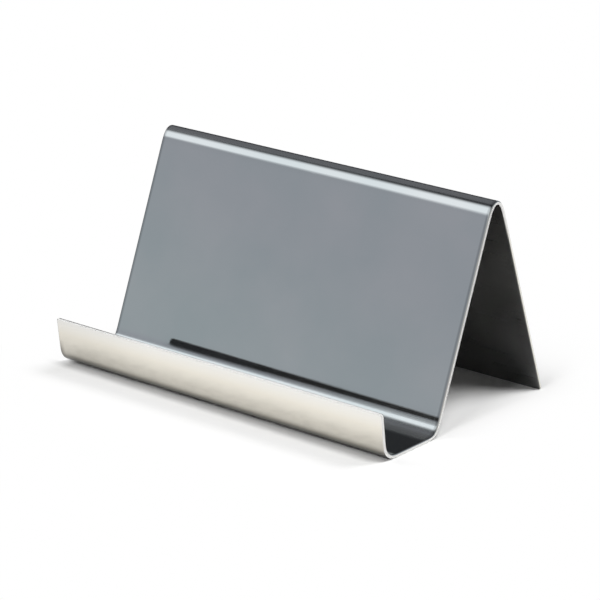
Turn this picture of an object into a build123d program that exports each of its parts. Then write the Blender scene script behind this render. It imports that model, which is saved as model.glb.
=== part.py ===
from build123d import *
from math import cos, radians, sin, tan
import os

os.makedirs("parts", exist_ok=True)

# A desk stand for business cards, folded from one strip of sheet metal.
# Seen from its right end, the sheet runs from the top of the front lip down to the tray floor,
# along the table, up the back panel, over the ridge and down the rear leg to the table.
# X runs along the folds, Y from the lip to the leg, and Z up from the table.

# Driving dimensions, in millimetres
sheet_width = 95.0  # along the folds, a little more than a business card is long
sheet_thickness = 0.8
stand_height = 47.4  # table to the top of the ridge
lip_height = 10.9  # table to the lip's front top edge
tray_run = 17.2  # along the table, between the corners where the lip and the panel would meet it
front_bend_radius = 3.3  # inside radius between the lip and the tray floor
rear_bend_radius = 3.2  # inside radius between the tray floor and the panel
ridge_bend_radius = 1.5  # inside radius between the panel and the leg
corner_radius = 0.8  # the sheet's four free corners
edge_radius = 0.15  # deburred rim of the sheet

# Driving angles from the vertical, in degrees
lip_lean = 5.0  # forwards
panel_lean = 22.7  # backwards
leg_lean = 17.1  # foot behind the ridge

# The ridge bend's sharp inside corner stands above the centre of the bend
ridge_half_angle = radians((panel_lean + leg_lean) / 2)
ridge_tilt = radians((panel_lean - leg_lean) / 2)
ridge_corner_rise = ridge_bend_radius * cos(ridge_tilt) / sin(ridge_half_angle)
ridge_corner_height = stand_height - sheet_thickness - ridge_bend_radius + ridge_corner_rise

# The leg is cut square, and its rounded front edge touches the table
foot_drop = edge_radius * (cos(radians(leg_lean)) + sin(radians(leg_lean)) - 1)

# Corners of the sheet's lower face, as (Y, Z) from the corner below the lip
lip_top = (-lip_height * tan(radians(lip_lean)), lip_height)
front_corner = (0, 0)
rear_corner = (tray_run, 0)
ridge_corner = (tray_run + ridge_corner_height * tan(radians(panel_lean)), ridge_corner_height)
foot_run = (ridge_corner_height + foot_drop) * tan(radians(leg_lean))
foot = (ridge_corner[0] + foot_run, -foot_drop)

# The origin is on the table, half way between the lip's front and the foot's rear edge
foot_rear = foot[0] + sheet_thickness * cos(radians(leg_lean))
depth_middle = (lip_top[0] + foot_rear) / 2
profile_plane = Plane((0, -depth_middle, 0), x_dir=(0, 1, 0), z_dir=(1, 0, 0))

# The lower face is outside the tray's two bends and inside the ridge bend
bend_radii = [
    front_bend_radius + sheet_thickness,
    rear_bend_radius + sheet_thickness,
    ridge_bend_radius,
]

# Middle of the lip's cut top edge, half a thickness in from the lip's front
half_thickness = Vector(sheet_thickness / 2, 0).rotate(Axis.Z, lip_lean)
lip_rim_middle = profile_plane.from_local_coords(Vector(*lip_top) + half_thickness)

with BuildPart() as stand_sheet:
    with BuildSketch(profile_plane):
        with BuildLine():
            FilletPolyline(lip_top, front_corner, rear_corner, ridge_corner, foot, radius=bend_radii)
            offset(amount=sheet_thickness, side=Side.LEFT)
        make_face()
    extrude(amount=sheet_width / 2, both=True)

    # The four short edges through the thickness are the free corners of the lip and the leg
    fillet(stand_sheet.edges().group_by(SortBy.LENGTH)[0], radius=corner_radius)

    # From the lip's two top edges, the rounding runs on round the whole rim of each face
    top_edges = stand_sheet.edges().filter_by(Axis.X).sort_by_distance(lip_rim_middle)[:2]
    fillet(top_edges, radius=edge_radius)

stand_sheet.part.label = "stand_sheet"
export_step(stand_sheet.part, "parts/stand_sheet.step")
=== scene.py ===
from functools import reduce
from math import atan2, cos, pi, radians, sin, tan

import bpy
import numpy as np
from mathutils import Matrix, Vector


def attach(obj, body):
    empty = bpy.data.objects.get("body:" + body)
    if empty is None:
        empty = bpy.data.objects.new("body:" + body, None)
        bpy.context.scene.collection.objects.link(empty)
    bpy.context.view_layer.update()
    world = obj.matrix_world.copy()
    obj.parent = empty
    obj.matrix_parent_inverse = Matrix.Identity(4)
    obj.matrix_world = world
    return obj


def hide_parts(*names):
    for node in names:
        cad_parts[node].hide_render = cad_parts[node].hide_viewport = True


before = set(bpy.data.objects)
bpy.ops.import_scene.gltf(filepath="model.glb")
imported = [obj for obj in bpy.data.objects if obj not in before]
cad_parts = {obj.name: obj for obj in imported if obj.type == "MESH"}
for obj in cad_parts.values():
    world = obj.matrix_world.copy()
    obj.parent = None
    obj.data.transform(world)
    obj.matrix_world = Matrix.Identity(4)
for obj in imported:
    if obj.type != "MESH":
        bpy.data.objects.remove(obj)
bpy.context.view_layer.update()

millimetre = 0.001

# The folded sheet, in millimetres and degrees: the solid's sizes
sheet_width = 95.0
sheet_thickness = 0.8
stand_height = 47.4
lip_height = 10.9
tray_run = 17.2
ridge_inside_radius = 1.5
edge_radius = 0.15
lip_lean = radians(5.0)
panel_lean = radians(22.7)
leg_lean = radians(17.1)

# Finer forms: free corners a little sharper than the solid's, and an upper edge rounded by polishing
corner_radius = 0.5
polished_edge_radius = 0.30

# Pressed bends have no sharp start: each arc is eased along the sheet, and not evenly from end to end
left_arcs, left_eases = (3.60, 3.05, 1.50), (0.85, 1.05, 1.60)  # front bend, rear bend, ridge
right_arcs, right_eases = (3.60, 2.85, 1.25), (0.85, 1.34, 1.75)

# Fineness of the mesh
path_step = 0.02
arc_points = 120
longest_row = 2.5
widest_turn = radians(1.5)
columns = 44
holding_width = 0.12
corner_steps = 8
rim_steps = 4

# Unevenness: waves in the panel and the leg, and a ridge that was folded higher at its left end
wave_height = 0.012
left_rise = 0.55


def unit(vector):
    return vector / np.linalg.norm(vector)


def bent_line(corners, radii):
    """Points at an even step along straight runs that are joined by arcs."""
    points = [corners[0]]
    for before, corner, after, radius in zip(corners, corners[1:], corners[2:], radii):
        along, onward = unit(corner - before), unit(after - corner)
        turn = atan2(along[0] * onward[1] - along[1] * onward[0], along @ onward)
        start = corner - along * radius * tan(abs(turn) / 2)
        centre = start + np.array((-along[1], along[0])) * np.copysign(radius, turn)
        arm = start - centre
        for angle in np.linspace(0, turn, arc_points):
            points.append(centre + np.array((
                cos(angle) * arm[0] - sin(angle) * arm[1],
                sin(angle) * arm[0] + cos(angle) * arm[1],
            )))
    points.append(corners[-1])
    points = np.array(points)
    lengths = np.concatenate([[0], np.cumsum(np.linalg.norm(np.diff(points, axis=0), axis=1))])
    steps = np.linspace(0, lengths[-1], round(lengths[-1] / path_step) + 1)
    return np.column_stack([np.interp(steps, lengths, points[:, k]) for k in range(2)])


def ease_bends(line, ease):
    """The line averaged over its neighbourhood, which leaves the straight runs straight."""
    reach = round(4 * ease / path_step)
    offsets = np.arange(-reach, reach + 1) * path_step
    weights = np.exp(-0.5 * (offsets / ease) ** 2)
    weights /= weights.sum()
    steps = np.arange(1, reach + 1)[:, None]
    before = line[0] - (line[1] - line[0]) * steps[::-1]
    after = line[-1] + (line[-1] - line[-2]) * steps
    longer = np.vstack([before, line, after])
    return np.column_stack([np.convolve(longer[:, k], weights, "valid") for k in range(2)])


# The sheet's lower face in (Y, Z), from the lip's top to the foot of the leg
ridge_half = (panel_lean + leg_lean) / 2
ridge_tilt = (panel_lean - leg_lean) / 2
ridge_rise = ridge_inside_radius * cos(ridge_tilt) / sin(ridge_half)
ridge_z = stand_height - sheet_thickness - ridge_inside_radius + ridge_rise
foot_drop = edge_radius * (cos(leg_lean) + sin(leg_lean) - 1)
lip_top = np.array((-lip_height * tan(lip_lean), lip_height))
front_corner = np.array((0.0, 0.0))
rear_corner = np.array((tray_run, 0.0))
ridge_corner = np.array((tray_run + ridge_z * tan(panel_lean), ridge_z))
foot = np.array((ridge_corner[0] + (ridge_z + foot_drop) * tan(leg_lean), -foot_drop))
depth_middle = (lip_top[0] + foot[0] + sheet_thickness * cos(leg_lean)) / 2
depth_middle_to_lip = depth_middle - lip_top[0]
fold_corners = [lip_top, front_corner, rear_corner, ridge_corner, foot]
run = path_step * np.arange(len(bent_line(fold_corners, left_arcs)))
sheet_length = run[-1]
tray_middle = lip_height + tray_run / 2
panel_middle = lip_height + tray_run + stand_height / 2

# The left end's rise grows up the panel, is full about the ridge and fades down the leg
rise_start, leg_end = tray_middle + 12, sheet_length - 4
full_rise_start, full_rise_end = panel_middle + 22, panel_middle + 30
rise_places = (rise_start, full_rise_start, full_rise_end, leg_end)
rise_shares = (0, 1, 1, 0)

# The waves begin a little above the rear bend and end with the rise
wave_start = lip_height + tray_run + 6


def along_sheet(values, place):
    return np.interp(place, run, values)


def eased_profile(arcs, eases):
    """Points of the lower face and the directions out of its upper side, at every step of the run."""
    sharp_line = bent_line(fold_corners, arcs)
    steps = np.linspace(0, len(sharp_line) - 1, len(run))
    marks = np.arange(len(sharp_line))
    sharp_line = np.column_stack([np.interp(steps, marks, sharp_line[:, k]) for k in range(2)])
    front, rear, ridge = (ease_bends(sharp_line, ease) for ease in eases)
    place = run[:, None]
    line = np.where(place < tray_middle, front, np.where(place < panel_middle, rear, ridge))
    line = line - (depth_middle, 0)
    tangent = np.gradient(line, run, axis=0)
    tangent /= np.linalg.norm(tangent, axis=1)[:, None]
    return np.column_stack([line, -tangent[:, 1], tangent[:, 0]])


left_profile = eased_profile(left_arcs, left_eases)
right_profile = eased_profile(right_arcs, right_eases)
heading = np.unwrap(np.arctan2(-left_profile[:, 2], left_profile[:, 3]))


def wave(place, across):
    """Slight unevenness of the panel and the leg, which fades out towards the tray and the foot."""
    share = np.clip((place - wave_start) / (leg_end - wave_start), 0, 1)
    fade = np.sin(pi * share) ** 0.5
    return wave_height * fade * (
        np.sin(across / 11.0 + place / 17.0 + 0.6)
        + 0.8 * np.sin(across / 19.0 - place / 9.0 + 2.1)
        + 0.5 * np.sin(across / 6.5 + place / 31.0 + 4.0)
    )


def sheet_points(place, across, height):
    """Points of the folded sheet: how far along it, across it and above its lower face."""
    lift = height + wave(place, across)
    rightness = (across / sheet_width + 0.5) ** 1.5
    y, z, out_y, out_z = (
        (1 - rightness) * along_sheet(left_profile[:, k], place)
        + rightness * along_sheet(right_profile[:, k], place)
        for k in range(4)
    )
    length = np.hypot(out_y, out_z)
    rise = left_rise * (1 - rightness) * np.interp(place, rise_places, rise_shares)
    y = y + rise * tan(panel_lean) + lift * out_y / length
    return np.column_stack([across, y, z + rise + lift * out_z / length])


# Rows of the mesh lie closer together where the sheet turns
pace = np.concatenate([[0], np.diff(run) / longest_row + np.abs(np.diff(heading)) / widest_turn])
rows_so_far = np.cumsum(pace)
straight = (run > corner_radius) & (run < sheet_length - corner_radius)
inner_pace, inner_run = rows_so_far[straight], run[straight]
row_marks = np.linspace(inner_pace[0], inner_pace[-1], round(inner_pace[-1] - inner_pace[0]) + 1)
inner_rows = np.interp(row_marks, inner_pace, inner_run)[1:-1]

holding = 1 - holding_width / (sheet_width / 2)
column_marks = np.linspace(-holding, holding, columns)
column_marks = np.concatenate([[-1], column_marks, [1]])


def outline_rows(inset):
    """Each row's place along the sheet and half width, for the outline moved in by inset."""
    turn = np.linspace(0, pi / 2, corner_steps + 1)
    reach = corner_radius - inset
    near = corner_radius - reach * np.cos(turn)
    narrow = sheet_width / 2 - corner_radius + reach * np.sin(turn)
    full = np.full(len(inner_rows), sheet_width / 2 - inset)
    place = np.concatenate([near, inner_rows, sheet_length - near[::-1]])
    return place, np.concatenate([narrow, full, narrow[::-1]])


row_count = len(inner_rows) + 2 * (corner_steps + 1)
column_count = len(column_marks)
last_row, last_column = row_count - 1, column_count - 1
border = [(0, c) for c in range(column_count)]
border += [(r, last_column) for r in range(1, row_count)]
border += [(last_row, c) for c in range(last_column - 1, -1, -1)]
border += [(r, 0) for r in range(last_row - 1, 0, -1)]
border_rows = np.array([r for r, c in border])
border_columns = np.array([c for r, c in border])


def face_grid(inset, height):
    place, half = outline_rows(inset)
    place = np.repeat(place, column_count)
    across = np.repeat(half, column_count) * np.tile(column_marks, row_count)
    return sheet_points(place, across, np.full(len(place), height)), np.column_stack([across, place])


def rim_loop(inset, height):
    place, half = outline_rows(inset)
    place, across = place[border_rows], half[border_rows] * column_marks[border_columns]
    return sheet_points(place, across, np.full(len(border), height)), np.column_stack([across, place])


def rounding(radius):
    """How far in from the rim and below the face each step of a rounded edge lies."""
    angles = [pi / 2 * k / rim_steps for k in range(1, rim_steps + 1)]
    return [(radius * (1 - sin(a)), radius * (1 - cos(a))) for a in angles]


def build_sheet():
    """The sheet as one closed mesh of an upper face, a lower face and a rim, in three finishes."""
    upper, upper_marks = face_grid(polished_edge_radius, sheet_thickness)
    lower, lower_marks = face_grid(edge_radius, 0.0)
    grid_size = row_count * column_count
    rims = [(inset, sheet_thickness - drop) for inset, drop in rounding(polished_edge_radius)]
    rims += reversed(rounding(edge_radius))
    loops = [rim_loop(inset, height) for inset, height in rims]
    points = np.vstack([upper, lower] + [loop for loop, _ in loops]) * millimetre
    marks = np.vstack([upper_marks, lower_marks] + [loop_marks for _, loop_marks in loops]) * millimetre

    def grid_faces(first, flip):
        faces = []
        for r in range(last_row):
            for c in range(last_column):
                a = first + r * column_count + c
                quad = (a, a + 1, a + column_count + 1, a + column_count)
                faces.append(quad[::-1] if flip else quad)
        return faces

    rings = [[r * column_count + c for r, c in border]]
    for k in range(len(loops)):
        rings.append([2 * grid_size + k * len(border) + i for i in range(len(border))])
    rings.append([grid_size + r * column_count + c for r, c in border])

    def strip_faces(first, last):
        faces = []
        for near, far in zip(rings[first:last], rings[first + 1:last + 1]):
            for i in range(len(border)):
                j = (i + 1) % len(border)
                faces.append((near[i], far[i], far[j], near[j]))
        return faces

    polished = grid_faces(0, False) + strip_faces(0, rim_steps)
    reverse = grid_faces(grid_size, True)
    cut = strip_faces(rim_steps, len(rings) - 1)
    faces = polished + reverse + cut

    # On the cut, the marks run round the rim and through the thickness
    edge_line = points[rings[rim_steps]]
    gaps = np.linalg.norm(np.diff(np.vstack([edge_line, edge_line[:1]]), axis=0), axis=1)
    edge_run = np.concatenate([[0], np.cumsum(gaps)])
    heights = [height * millimetre for _, height in rims[rim_steps - 1:]] + [0.0]
    cut_marks = []
    for high, low in zip(heights, heights[1:]):
        for start, end in zip(edge_run, edge_run[1:]):
            cut_marks += [(start, high), (start, low), (end, low), (end, high)]

    mesh = bpy.data.meshes.new("folded_sheet")
    mesh.from_pydata([tuple(p) for p in points], [], faces)
    mesh.polygons.foreach_set("use_smooth", [True] * len(faces))
    finishes = [0] * len(polished) + [1] * len(reverse) + [2] * len(cut)
    mesh.polygons.foreach_set("material_index", finishes)
    layer = mesh.uv_layers.new(name="along_sheet")
    corners = np.array([v for face in polished + reverse for v in face])
    layer.data.foreach_set("uv", np.vstack([marks[corners], np.array(cut_marks)]).ravel())
    mesh.update()
    return mesh


def add(tree, kind, **settings):
    node = tree.nodes.new(kind)
    for name, value in settings.items():
        setattr(node, name, value)
    return node


def put(tree, socket, value):
    if isinstance(value, bpy.types.NodeSocket):
        tree.links.new(value, socket)
    else:
        socket.default_value = value


def maths(tree, operation, *values):
    node = add(tree, "ShaderNodeMath", operation=operation)
    for socket, value in zip(node.inputs, values):
        put(tree, socket, value)
    return node.outputs[0]


def product(tree, *values):
    return reduce(lambda first, second: maths(tree, "MULTIPLY", first, second), values)


def total(tree, *values):
    return reduce(lambda first, second: maths(tree, "ADD", first, second), values)


def away(tree, value, middle):
    """How far a value lies from a middle, to either side."""
    return maths(tree, "ABSOLUTE", maths(tree, "SUBTRACT", value, middle))


def vector_maths(tree, operation, *values):
    node = add(tree, "ShaderNodeVectorMath", operation=operation)
    for socket, value in zip(node.inputs, values):
        put(tree, socket, value)
    return node.outputs["Value" if operation in ("DOT_PRODUCT", "LENGTH") else "Vector"]


def span(tree, value, low, high, to_low, to_high, smooth=False):
    """Runs from to_low to to_high while the value goes from low to high, and stays level beyond."""
    node = add(tree, "ShaderNodeMapRange")
    node.interpolation_type = "SMOOTHSTEP" if smooth else "LINEAR"
    for socket, number in zip(node.inputs[:5], (value, low, high, to_low, to_high)):
        put(tree, socket, number)
    return node.outputs[0]


def noise(tree, vector, scale, detail=2.0, roughness=0.5):
    node = add(tree, "ShaderNodeTexNoise")
    put(tree, node.inputs["Vector"], vector)
    for name, value in (("Scale", scale), ("Detail", detail), ("Roughness", roughness)):
        put(tree, node.inputs[name], value)
    return node.outputs[0]


def blend(tree, factor, first, second):
    node = add(tree, "ShaderNodeMix", data_type="RGBA")
    put(tree, node.inputs["Factor"], factor)
    put(tree, node.inputs[6], first)
    put(tree, node.inputs[7], second)
    return node.outputs[2]


def mixture(tree, factor, first, second):
    """Like blend, for plain numbers."""
    node = add(tree, "ShaderNodeMix")
    put(tree, node.inputs["Factor"], factor)
    put(tree, node.inputs[2], first)
    put(tree, node.inputs[3], second)
    return node.outputs[0]


def bump(tree, height, strength, distance):
    node = add(tree, "ShaderNodeBump")
    put(tree, node.inputs["Strength"], strength)
    put(tree, node.inputs["Distance"], distance)
    put(tree, node.inputs["Height"], height)
    return node.outputs[0]


def metal(name):
    material = bpy.data.materials.new(name)
    material.use_nodes = True
    tree = material.node_tree
    tree.nodes.clear()
    shader = add(tree, "ShaderNodeBsdfPrincipled")
    output = add(tree, "ShaderNodeOutputMaterial")
    tree.links.new(shader.outputs[0], output.inputs["Surface"])
    shader.inputs["Metallic"].default_value = 1.0
    return material, tree, shader


# Middles of the front bend, the rear bend and the ridge, along the sheet in millimetres
bend_middles = (10.3, 26.6, 77.9)
bend_roughness = (0.20, 0.10, 0.20)

# Two rough lines in the polish of the rear bend, and the stretch across the sheet where the upper one grows
lower_line, upper_line = 26.9, 29.1
upper_line_growth = (-20.0, 45.0)

# Stretches along the sheet where a finish, painted light or painted shade changes, in millimetres from the
# lip's top to the leg's foot
lip_top_rounding = (0.3, 0.9)
lip_warming = (0.3, 3.5)
lip_darkening = (1.2, 11.0)
lip_mottling = (3.0, 7.5)
lip_corner_shade_stretch = (5.0, 7.5)
bend_darkening = (8.0, 10.4)
satin_to_dull = (9.0, 15.5)
upper_leg_start = (80.0, 84.0)
leg_end_darkening = (94.0, 110.0)
lower_leg_darkening = (100.0, 119.5)
leg_foot_lightening = (115.0, 124.0)

# Stretches across the sheet where a painted shade changes, in millimetres from its middle
lip_top_shade_fade = (-18.0, 16.0)
lip_left_shade_stretch = (-sheet_width / 2, -18.0)
leg_right_end = (35.0, 45.0)

# Stretches of the cut down the right side, in millimetres from the lip's right corner: painted shade beside
# the panel, cream behind the ridge
panel_cut_start, panel_cut_end = (29.0, 34.0), (72.0, 75.0)
leg_cut_start = (80.0, 86.0)

# Stretches of the cut through the thickness, from the lower face, and along the lip's top, for its painted
# dark lines
inner_edge_height = (0.08, 0.22)
rear_line_height = (0.22, 0.36)
rear_line_fading = (13.0, 24.0)


def sheet_place(tree):
    """Place on the sheet in metres, and its two parts in millimetres.

    They run across the sheet and along it from the lip's top, or on the cut round the rim and upwards.
    """
    place = add(tree, "ShaderNodeUVMap", uv_map="along_sheet").outputs[0]
    parts = add(tree, "ShaderNodeSeparateXYZ")
    tree.links.new(place, parts.inputs[0])
    across = maths(tree, "DIVIDE", parts.outputs["X"], millimetre)
    return place, across, maths(tree, "DIVIDE", parts.outputs["Y"], millimetre)


def streaks(tree, place, degrees, length, width):
    """Noise drawn out into lines of about this length and width, in metres, at an angle to the folds."""
    turned = add(tree, "ShaderNodeVectorRotate", rotation_type="Z_AXIS")
    put(tree, turned.inputs["Vector"], place)
    turned.inputs["Angle"].default_value = radians(degrees)
    drawn_out = vector_maths(tree, "MULTIPLY", turned.outputs[0], (1 / length, 1 / width, 1.0))
    return noise(tree, drawn_out, 1.0, 3.0, 0.6)


def pits(tree, place, spacing, share, radius):
    """Small round marks: a share of the cells of a loose grid each has one, of about this radius."""
    cells = add(tree, "ShaderNodeTexVoronoi")
    put(tree, cells.inputs["Vector"], place)
    cells.inputs["Scale"].default_value = 1 / spacing
    chosen = span(tree, cells.outputs["Color"], 1 - share - 0.01, 1 - share, 0.0, 1.0)
    return product(tree, chosen, span(tree, cells.outputs["Distance"], radius / spacing, 0.0, 0.0, 1.0))


def rim_wear(tree, place, across, distance):
    """Rubbed patches along the rim of the sheet."""
    side = span(tree, maths(tree, "ABSOLUTE", across), sheet_width / 2 - 1.2, sheet_width / 2, 0.0, 1.0)
    lip = span(tree, distance, 0.0, 1.0, 1.0, 0.0)
    foot_end = span(tree, distance, sheet_length - 1.0, sheet_length, 0.0, 1.0)
    near = maths(tree, "MAXIMUM", maths(tree, "MAXIMUM", lip, foot_end), side)
    return product(tree, near, span(tree, noise(tree, place, 90.0, 3.0), 0.42, 0.62, 0.0, 1.0))


def rim_painted_shade(tree, across):
    """Painted shade: dark lines along the left and right rims, the left one darkest on its rounded edge."""
    from_left = maths(tree, "ADD", across, sheet_width / 2)
    from_right = maths(tree, "SUBTRACT", sheet_width / 2, across)
    left = span(tree, from_left, 0.20, 0.40, 0.90, 0.32)
    right = span(tree, from_right, 0.15, 0.35, 0.0, 0.32)
    left = product(tree, left, span(tree, from_left, 0.6, 1.0, 1.0, 0.0))
    right = product(tree, right, span(tree, from_right, 0.6, 1.0, 1.0, 0.0))
    return maths(tree, "MAXIMUM", left, right)


def polished_roughness(tree, place, across, distance, fine_lines):
    """Low on the flats, higher in cloudy patches, in the bends and along the rear bend's two lines."""
    terms = [
        span(tree, fine_lines, 0.3, 0.75, 0.03, 0.06),
        span(tree, noise(tree, place, 70.0, 4.0, 0.55), 0.48, 0.75, 0.0, 0.03),
    ]
    for middle, amount in zip(bend_middles, bend_roughness):
        terms.append(span(tree, away(tree, distance, middle), 1.0, 2.6, amount, 0.0, True))
    terms.append(span(tree, away(tree, distance, lower_line), 0.2, 0.7, 0.14, 0.0, True))
    on_upper_line = span(tree, away(tree, distance, upper_line), 0.2, 0.8, 0.24, 0.0, True)
    terms.append(product(tree, on_upper_line, span(tree, across, *upper_line_growth, 0.3, 1.0)))
    return total(tree, *terms)


def polished_tint(tree, place, across, distance, marks, wear):
    """Clouded steel, with painted shade making it darker on the ridge, on the lip's top rounding, most on
    its left, and along the side rims.
    """
    clouds = span(tree, noise(tree, place, 42.0, 3.0), 0.36, 0.64, 0.0, 1.0)
    tint = blend(tree, clouds, (0.728, 0.734, 0.706, 1), (0.794, 0.770, 0.740, 1))
    # Painted reflection shade: the lip's top rounding is darkened, most at its left end
    lip_rim = span(tree, distance, *lip_top_rounding, 1.0, 0.0)
    rounding_shade_fade = span(tree, across, *lip_top_shade_fade, 0.0, 1.0)
    dark_rounding_shade = blend(tree, rounding_shade_fade, (0.25, 0.24, 0.225, 1), (0.58, 0.555, 0.51, 1))
    tint = blend(tree, lip_rim, tint, dark_rounding_shade)
    # Painted shade: the ridge is darkened a little to dim the highlight on it
    ridge_painted_shade = span(tree, away(tree, distance, bend_middles[2]), 2.0, 5.0, 0.07, 0.0)
    tint = blend(tree, ridge_painted_shade, tint, (0.1, 0.1, 0.1, 1))
    tint = blend(tree, product(tree, wear, 0.25), tint, (0.82, 0.81, 0.79, 1))
    tint = blend(tree, product(tree, marks, 0.45), tint, (0.40, 0.39, 0.37, 1))
    # Painted shade along the left and right rims
    return blend(tree, rim_painted_shade(tree, across), tint, (0.05, 0.05, 0.05, 1))


def polished_steel():
    """The upper face: mirror polished on the flats and slightly roughened where the sheet was bent."""
    material, tree, shader = metal("polished_steel_sheet")
    place, across, distance = sheet_place(tree)
    fine_lines = streaks(tree, place, 0, 0.025, 0.0002)
    broad_lines = streaks(tree, place, 0, 0.045, 0.0011)
    scratches = 0.0
    for degrees in (4, -23, 58):
        line = span(tree, streaks(tree, place, degrees, 0.009, 0.00016), 0.70, 0.78, 0.0, 1.0)
        scratches = maths(tree, "MAXIMUM", scratches, line)
    marks = pits(tree, place, 0.0035, 0.04, 0.00022)
    wear = rim_wear(tree, place, across, distance)
    roughness = total(
        tree,
        polished_roughness(tree, place, across, distance, fine_lines),
        product(tree, scratches, 0.10),
        product(tree, marks, 0.25),
        product(tree, wear, 0.07),
    )
    put(tree, shader.inputs["Roughness"], roughness)
    put(tree, shader.inputs["Base Color"], polished_tint(tree, place, across, distance, marks, wear))
    relief = total(tree, fine_lines, broad_lines)
    relief = maths(tree, "SUBTRACT", relief, total(tree, scratches, marks))
    put(tree, shader.inputs["Normal"], bump(tree, relief, 0.05, 0.00002))
    return material


def lip_tint(tree, place, across, distance, clouds):
    """The lip's front: warmer lower down and mottled, with painted shade that darkens it lower down, in the
    bend and towards its left end.
    """
    upper = blend(tree, clouds, (0.83, 0.82, 0.79, 1), (0.87, 0.86, 0.83, 1))
    lower = blend(tree, clouds, (0.84, 0.80, 0.71, 1), (0.88, 0.84, 0.75, 1))
    tint = blend(tree, span(tree, distance, *lip_warming, 0.0, 1.0), upper, lower)
    # Painted shade: the lip darkens lower down and in the front bend, for the contact shadow seen in it
    lip_bottom_shade = maths(tree, "POWER", span(tree, distance, *lip_darkening, 0.0, 1.0), 1.6)
    lip_bottom_shade = product(tree, lip_bottom_shade, 0.58)
    lip_bottom_shade = total(tree, lip_bottom_shade, span(tree, distance, *bend_darkening, 0.0, 0.36, True))
    tint = blend(tree, lip_bottom_shade, tint, (0.025, 0.022, 0.018, 1))
    mottles = span(tree, streaks(tree, place, 8, 0.0045, 0.0016), 0.42, 0.68, 0.0, 1.0)
    mottles = product(tree, mottles, span(tree, distance, *lip_mottling, 0.0, 0.11))
    tint = blend(tree, mottles, tint, (0.06, 0.055, 0.045, 1))
    # Painted shade: the lip darkens towards its left end
    lip_left_painted_shade = span(tree, across, *lip_left_shade_stretch, 0.10, 0.0)
    tint = blend(tree, lip_left_painted_shade, tint, (0.02, 0.02, 0.02, 1))
    # Painted shade: a dark strip down the lip's lower left edge
    lip_corner_painted_shade = span(tree, maths(tree, "ADD", across, sheet_width / 2), 0.3, 1.6, 0.5, 0.0)
    lip_corner_painted_shade = product(tree, lip_corner_painted_shade, span(tree, distance, *lip_corner_shade_stretch, 0.0, 1.0))
    return blend(tree, lip_corner_painted_shade, tint, (0.02, 0.018, 0.015, 1))


def dull_tint_and_painted_shade(tree, across, distance, clouds):
    """Behind the panel, with painted light and shade: lighter on the upper leg, and darker on the lower leg
    and at its right end.
    """
    tint = blend(tree, clouds, (0.39, 0.385, 0.37, 1), (0.44, 0.435, 0.42, 1))
    upper_leg_painted_light = blend(tree, clouds, (0.60, 0.595, 0.59, 1), (0.67, 0.665, 0.66, 1))
    lower_leg_painted_shade = blend(tree, clouds, (0.23, 0.23, 0.23, 1), (0.26, 0.26, 0.26, 1))
    # Painted light on the upper leg, and painted shade on the lower leg and towards its right end
    tint = blend(tree, span(tree, distance, *upper_leg_start, 0.0, 1.0), tint, upper_leg_painted_light)
    tint = blend(tree, span(tree, distance, *lower_leg_darkening, 0.0, 1.0), tint, lower_leg_painted_shade)
    leg_end_shade = product(
        tree,
        span(tree, across, *leg_right_end, 0.0, 0.70),
        span(tree, distance, *leg_end_darkening, 0.0, 1.0),
        span(tree, distance, *leg_foot_lightening, 1.0, 0.55),
    )
    return blend(tree, leg_end_shade, tint, (0.02, 0.02, 0.02, 1))


def reverse_steel():
    """The lower face: brushed to a satin on the lip's front, dull in the bend and behind the panel."""
    material, tree, shader = metal("reverse_steel_sheet")
    place, across, distance = sheet_place(tree)
    dull = span(tree, distance, *satin_to_dull, 0.0, 1.0, True)
    grain = streaks(tree, place, 0, 0.017, 0.0004)
    clouds = noise(tree, place, 45.0, 3.0)
    marks = pits(tree, place, 0.0040, 0.06, 0.00020)
    wear = rim_wear(tree, place, across, distance)
    satin = span(tree, grain, 0.3, 0.75, 0.13, 0.19)
    rolled = span(tree, grain, 0.3, 0.75, 0.26, 0.34)
    rubbed = product(tree, total(tree, wear, marks), 0.08)
    put(tree, shader.inputs["Roughness"], total(tree, mixture(tree, dull, satin, rolled), rubbed))
    on_lip = lip_tint(tree, place, across, distance, clouds)
    tint = blend(tree, dull, on_lip, dull_tint_and_painted_shade(tree, across, distance, clouds))
    tint = blend(tree, product(tree, marks, 0.5), tint, (0.25, 0.24, 0.22, 1))
    put(tree, shader.inputs["Base Color"], tint)
    put(tree, shader.inputs["Normal"], bump(tree, maths(tree, "SUBTRACT", grain, marks), 0.05, 0.00003))
    return material


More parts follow.
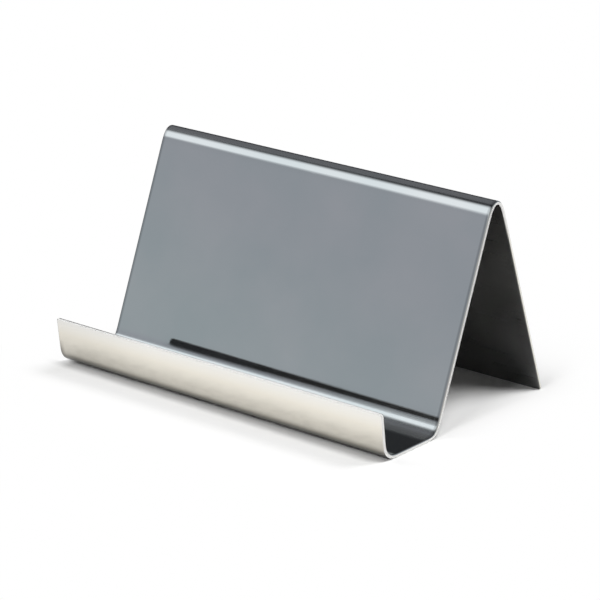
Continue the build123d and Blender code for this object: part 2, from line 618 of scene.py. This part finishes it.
def cut_tint(tree, place, round_rim, height, shear):
    """Pale steel, cream behind the ridge; painted shade makes it greyer beside the panel and draws dark
    lines, and a painted highlight makes it lightest along the lip's top.
    """
    down_side = maths(tree, "SUBTRACT", round_rim, sheet_width)
    tint = blend(tree, shear, (0.85, 0.845, 0.83, 1), (0.91, 0.905, 0.89, 1))
    # Painted shade: the cut is greyer beside the panel
    panel_side_painted_shade = span(tree, down_side, *panel_cut_start, 0.0, 1.0)
    panel_side_painted_shade = product(tree, panel_side_painted_shade, span(tree, down_side, *panel_cut_end, 1.0, 0.0))
    panel_cut_shade_tint = blend(tree, shear, (0.66, 0.655, 0.65, 1), (0.72, 0.715, 0.705, 1))
    tint = blend(tree, panel_side_painted_shade, tint, panel_cut_shade_tint)
    behind_ridge = span(tree, down_side, *leg_cut_start, 0.0, 1.0)
    tint = blend(tree, behind_ridge, tint, (0.92, 0.91, 0.83, 1))
    # Painted shade: a dark line along the inner edge of the cut behind the ridge
    inner_edge_painted_shade = product(tree, behind_ridge, span(tree, height, *inner_edge_height, 0.9, 0.0))
    tint = blend(tree, inner_edge_painted_shade, tint, (0.03, 0.03, 0.03, 1))
    # Painted highlight: the cut along the lip's top is made lightest
    on_lip = span(tree, down_side, -1.0, 1.0, 0.9, 0.0)
    tint = blend(tree, on_lip, tint, (0.96, 0.955, 0.94, 1))
    # Painted shade: a dark line along the back of the lip's top cut, fading along the rim
    rear_painted_shade_line = product(
        tree,
        on_lip,
        span(tree, height, *rear_line_height, 0.0, 1.0),
        span(tree, round_rim, *rear_line_fading, 0.85, 0.12),
    )
    tint = blend(tree, rear_painted_shade_line, tint, (0.10, 0.095, 0.09, 1))
    patches = noise(tree, place, 160.0, 3.0)
    return blend(tree, span(tree, patches, 0.5, 0.7, 0.0, 0.10), tint, (0.55, 0.54, 0.52, 1))


def cut_steel():
    """The sheared rim: matt and pale, with fine shear marks through the thickness."""
    material, tree, shader = metal("cut_steel_edge")
    place, round_rim, height = sheet_place(tree)
    shear = noise(tree, vector_maths(tree, "MULTIPLY", place, (1800.0, 400.0, 1.0)), 1.0, 3.0, 0.6)
    put(tree, shader.inputs["Roughness"], span(tree, shear, 0.25, 0.75, 0.28, 0.45))
    put(tree, shader.inputs["Base Color"], cut_tint(tree, place, round_rim, height, shear))
    put(tree, shader.inputs["Normal"], bump(tree, shear, 0.06, 0.00004))
    shader.inputs["Metallic"].default_value = 0.15
    return material


sheet = bpy.data.objects.new("folded_sheet", build_sheet())
bpy.context.collection.objects.link(sheet)
sheet.data.materials.append(polished_steel())
sheet.data.materials.append(reverse_steel())
sheet.data.materials.append(cut_steel())
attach(sheet, "root")
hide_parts("stand_sheet")

# The shadow's field stops a little inside the stand's two ends, and reaches from the lip to the foot
left_inset, right_inset = 0.0028, 0.0012
shade_middle = ((left_inset - right_inset) / 2, 0.0, 0.0)
shade_width = sheet_width * millimetre - left_inset - right_inset
shade_half = (shade_width / 2, depth_middle_to_lip * millimetre, 1.0)

# How fast the shadow fades out beyond that, sideways and to the front and rear
shade_reach = (0.004, 0.012, 1.0)


def floor():
    """White paper, which fades to plain white away from the stand, for the camera and in the metal."""
    half = 1.5
    corners = [(-half, -half, 0), (half, -half, 0), (half, half, 0), (-half, half, 0)]
    mesh = bpy.data.meshes.new("floor")
    mesh.from_pydata(corners, [], [(0, 1, 2, 3)])
    board = bpy.data.objects.new("floor", mesh)
    bpy.context.collection.objects.link(board)
    material = bpy.data.materials.new("white_paper")
    material.use_nodes = True
    tree = material.node_tree
    tree.nodes.clear()
    paper = add(tree, "ShaderNodeBsdfDiffuse")
    paper.inputs["Color"].default_value = (0.96, 0.96, 0.955, 1)
    white = add(tree, "ShaderNodeEmission")
    white.inputs["Color"].default_value = (1, 1, 1, 1)
    white.inputs["Strength"].default_value = 1.0
    place = add(tree, "ShaderNodeNewGeometry").outputs["Position"]
    place = vector_maths(tree, "ABSOLUTE", vector_maths(tree, "SUBTRACT", place, shade_middle))
    beyond = vector_maths(tree, "SUBTRACT", place, shade_half)
    beyond = vector_maths(tree, "DIVIDE", vector_maths(tree, "MAXIMUM", beyond, (0, 0, 0)), shade_reach)
    fading = maths(tree, "POWER", vector_maths(tree, "LENGTH", beyond), 1.5)
    shaded = maths(tree, "EXPONENT", product(tree, fading, -1.0))
    path = add(tree, "ShaderNodeLightPath")
    seen = maths(tree, "MAXIMUM", path.outputs["Is Camera Ray"], path.outputs["Is Glossy Ray"])
    mix = add(tree, "ShaderNodeMixShader")
    put(tree, mix.inputs[0], product(tree, seen, maths(tree, "SUBTRACT", 1.0, shaded)))
    tree.links.new(paper.outputs[0], mix.inputs[1])
    tree.links.new(white.outputs[0], mix.inputs[2])
    output = add(tree, "ShaderNodeOutputMaterial")
    tree.links.new(mix.outputs[0], output.inputs["Surface"])
    mesh.materials.append(material)


floor()


def towards(azimuth, elevation):
    """Direction from the stand: azimuth 0 is in front of the lip, 90 degrees to its right."""
    a, e = radians(azimuth), radians(elevation)
    return Vector((sin(a) * cos(e), -cos(a) * cos(e), sin(e)))


def lamp(name, azimuth, elevation, size, watts):
    """A square lamp one metre away, which lights matt surfaces but doesn't show in the metal."""
    data = bpy.data.lights.new(name, "AREA")
    data.size = size
    data.energy = watts
    holder = bpy.data.objects.new(name, data)
    bpy.context.collection.objects.link(holder)
    direction = towards(azimuth, elevation)
    holder.location = direction
    holder.rotation_euler = direction.to_track_quat("Z", "Y").to_euler()
    holder.visible_camera = False
    holder.visible_glossy = False


lamp("right", 90, 70, 0.20, 4.31)
lamp("front_left", -60, 48, 0.25, 2.26)
lamp("rear_right", 140, 50, 0.30, 3.61)
lamp("front", 10, 40, 0.25, 2.76)

# What the metal reflects: a softbox at the front left, in a grey room with a dark rear left corner
softbox_azimuth, softbox_elevation = -58.0, 33.0
softbox_half_width, softbox_below, softbox_above = 30.0, 7.5, 9.6
side_fade, lower_fade, upper_fade = 1.2, 2.5, 6.5


def studio():
    """White for the camera, nearly dark for matt surfaces, and a room with a softbox for the metal."""
    world = bpy.data.worlds.new("studio")
    bpy.context.scene.world = world
    world.use_nodes = True
    tree = world.node_tree
    tree.nodes.clear()
    direction = add(tree, "ShaderNodeTexCoord").outputs["Generated"]
    parts = add(tree, "ShaderNodeSeparateXYZ")
    tree.links.new(direction, parts.inputs[0])
    rise = span(tree, maths(tree, "ARCSINE", parts.outputs["Z"]), -pi / 2, pi / 2, 0.0, 1.0)

    def ramp(stops):
        node = add(tree, "ShaderNodeValToRGB")
        tree.links.new(rise, node.inputs[0])
        elements = node.color_ramp.elements
        while len(elements) < len(stops):
            elements.new(0.5)
        for element, (degrees, colour) in zip(elements, stops):
            element.position = (degrees + 90) / 180
            element.color = (*colour, 1)
        return node.outputs[0]

    room = ramp([
        (-5, (0.50, 0.53, 0.55)),
        (8, (0.372, 0.427, 0.471)),
        (14, (0.360, 0.413, 0.454)),
        (17, (0.338, 0.371, 0.423)),
        (34, (0.322, 0.357, 0.405)),
        (45, (0.034, 0.037, 0.043)),
    ])
    camera_side = ramp([
        (-5, (0.48, 0.49, 0.50)),
        (8, (0.42, 0.43, 0.44)),
        (40, (0.38, 0.39, 0.40)),
        (60, (0.05, 0.055, 0.06)),
    ])
    dark_corner = ramp([
        (0, (0.10, 0.105, 0.12)),
        (10, (0.03, 0.033, 0.04)),
        (24, (0.035, 0.038, 0.045)),
        (34, (0.17, 0.18, 0.20)),
        (52, (0.15, 0.16, 0.18)),
        (80, (0.09, 0.095, 0.10)),
    ])
    behind = span(tree, parts.outputs["Y"], -0.21, -0.10, 0.0, 1.0, True)
    in_front = span(tree, parts.outputs["Y"], -0.1, 0.1, 1.0, 0.0, True)
    leftwards = span(tree, parts.outputs["X"], -0.3, 0.1, 1.0, 0.0, True)
    rightwards = span(tree, parts.outputs["X"], -0.45, -0.05, 0.0, 1.0, True)
    surroundings = blend(tree, product(tree, in_front, rightwards), room, camera_side)
    surroundings = blend(tree, product(tree, behind, leftwards), surroundings, dark_corner)

    centre = towards(softbox_azimuth, softbox_elevation)
    sideways = centre.cross(Vector((0, 0, 1))).normalized()
    upwards = sideways.cross(centre)
    facing = vector_maths(tree, "DOT_PRODUCT", direction, centre)
    beside = maths(tree, "DIVIDE", vector_maths(tree, "DOT_PRODUCT", direction, sideways), facing)
    above = maths(tree, "DIVIDE", vector_maths(tree, "DOT_PRODUCT", direction, upwards), facing)

    def within(offset, angle, fade):
        inner, outer = tan(radians(angle - fade)), tan(radians(angle + fade))
        return span(tree, offset, inner, outer, 1.0, 0.0, True)

    lit = product(
        tree,
        within(maths(tree, "ABSOLUTE", beside), softbox_half_width, side_fade),
        within(above, softbox_above, upper_fade),
        within(product(tree, above, -1.0), softbox_below, lower_fade),
        span(tree, facing, 0.0, 0.1, 0.0, 1.0),
    )
    seen_in_metal = blend(tree, lit, surroundings, (0.958, 1.05, 1.13, 1))

    path = add(tree, "ShaderNodeLightPath")
    ambient = blend(tree, path.outputs["Is Glossy Ray"], (0.02, 0.02, 0.02, 1), seen_in_metal)
    colour = blend(tree, path.outputs["Is Camera Ray"], ambient, (1, 1, 1, 1))
    background = add(tree, "ShaderNodeBackground")
    tree.links.new(colour, background.inputs["Color"])
    output = add(tree, "ShaderNodeOutputWorld")
    tree.links.new(background.outputs[0], output.inputs["Surface"])


studio()

# The camera was fitted to the straight edges in the photograph
camera_azimuth, camera_elevation, camera_roll = 41.6691, 19.3392, radians(-1.2348)
camera_place = (0.397721, -0.445197, 0.227453)
camera_lens = 172.123


def photograph_camera():
    data = bpy.data.cameras.new("camera")
    data.lens = camera_lens
    data.sensor_width = 36.0
    data.clip_start, data.clip_end = 0.01, 20.0
    holder = bpy.data.objects.new("camera", data)
    bpy.context.collection.objects.link(holder)
    back = towards(camera_azimuth, camera_elevation)
    right = Vector((0, 0, 1)).cross(back).normalized()
    up = back.cross(right)
    level = Matrix((right, up, back)).transposed().to_4x4()
    holder.matrix_world = Matrix.Translation(camera_place) @ level @ Matrix.Rotation(camera_roll, 4, "Z")
    bpy.context.scene.camera = holder


photograph_camera()
bpy.context.scene.view_settings.view_transform = "Standard"
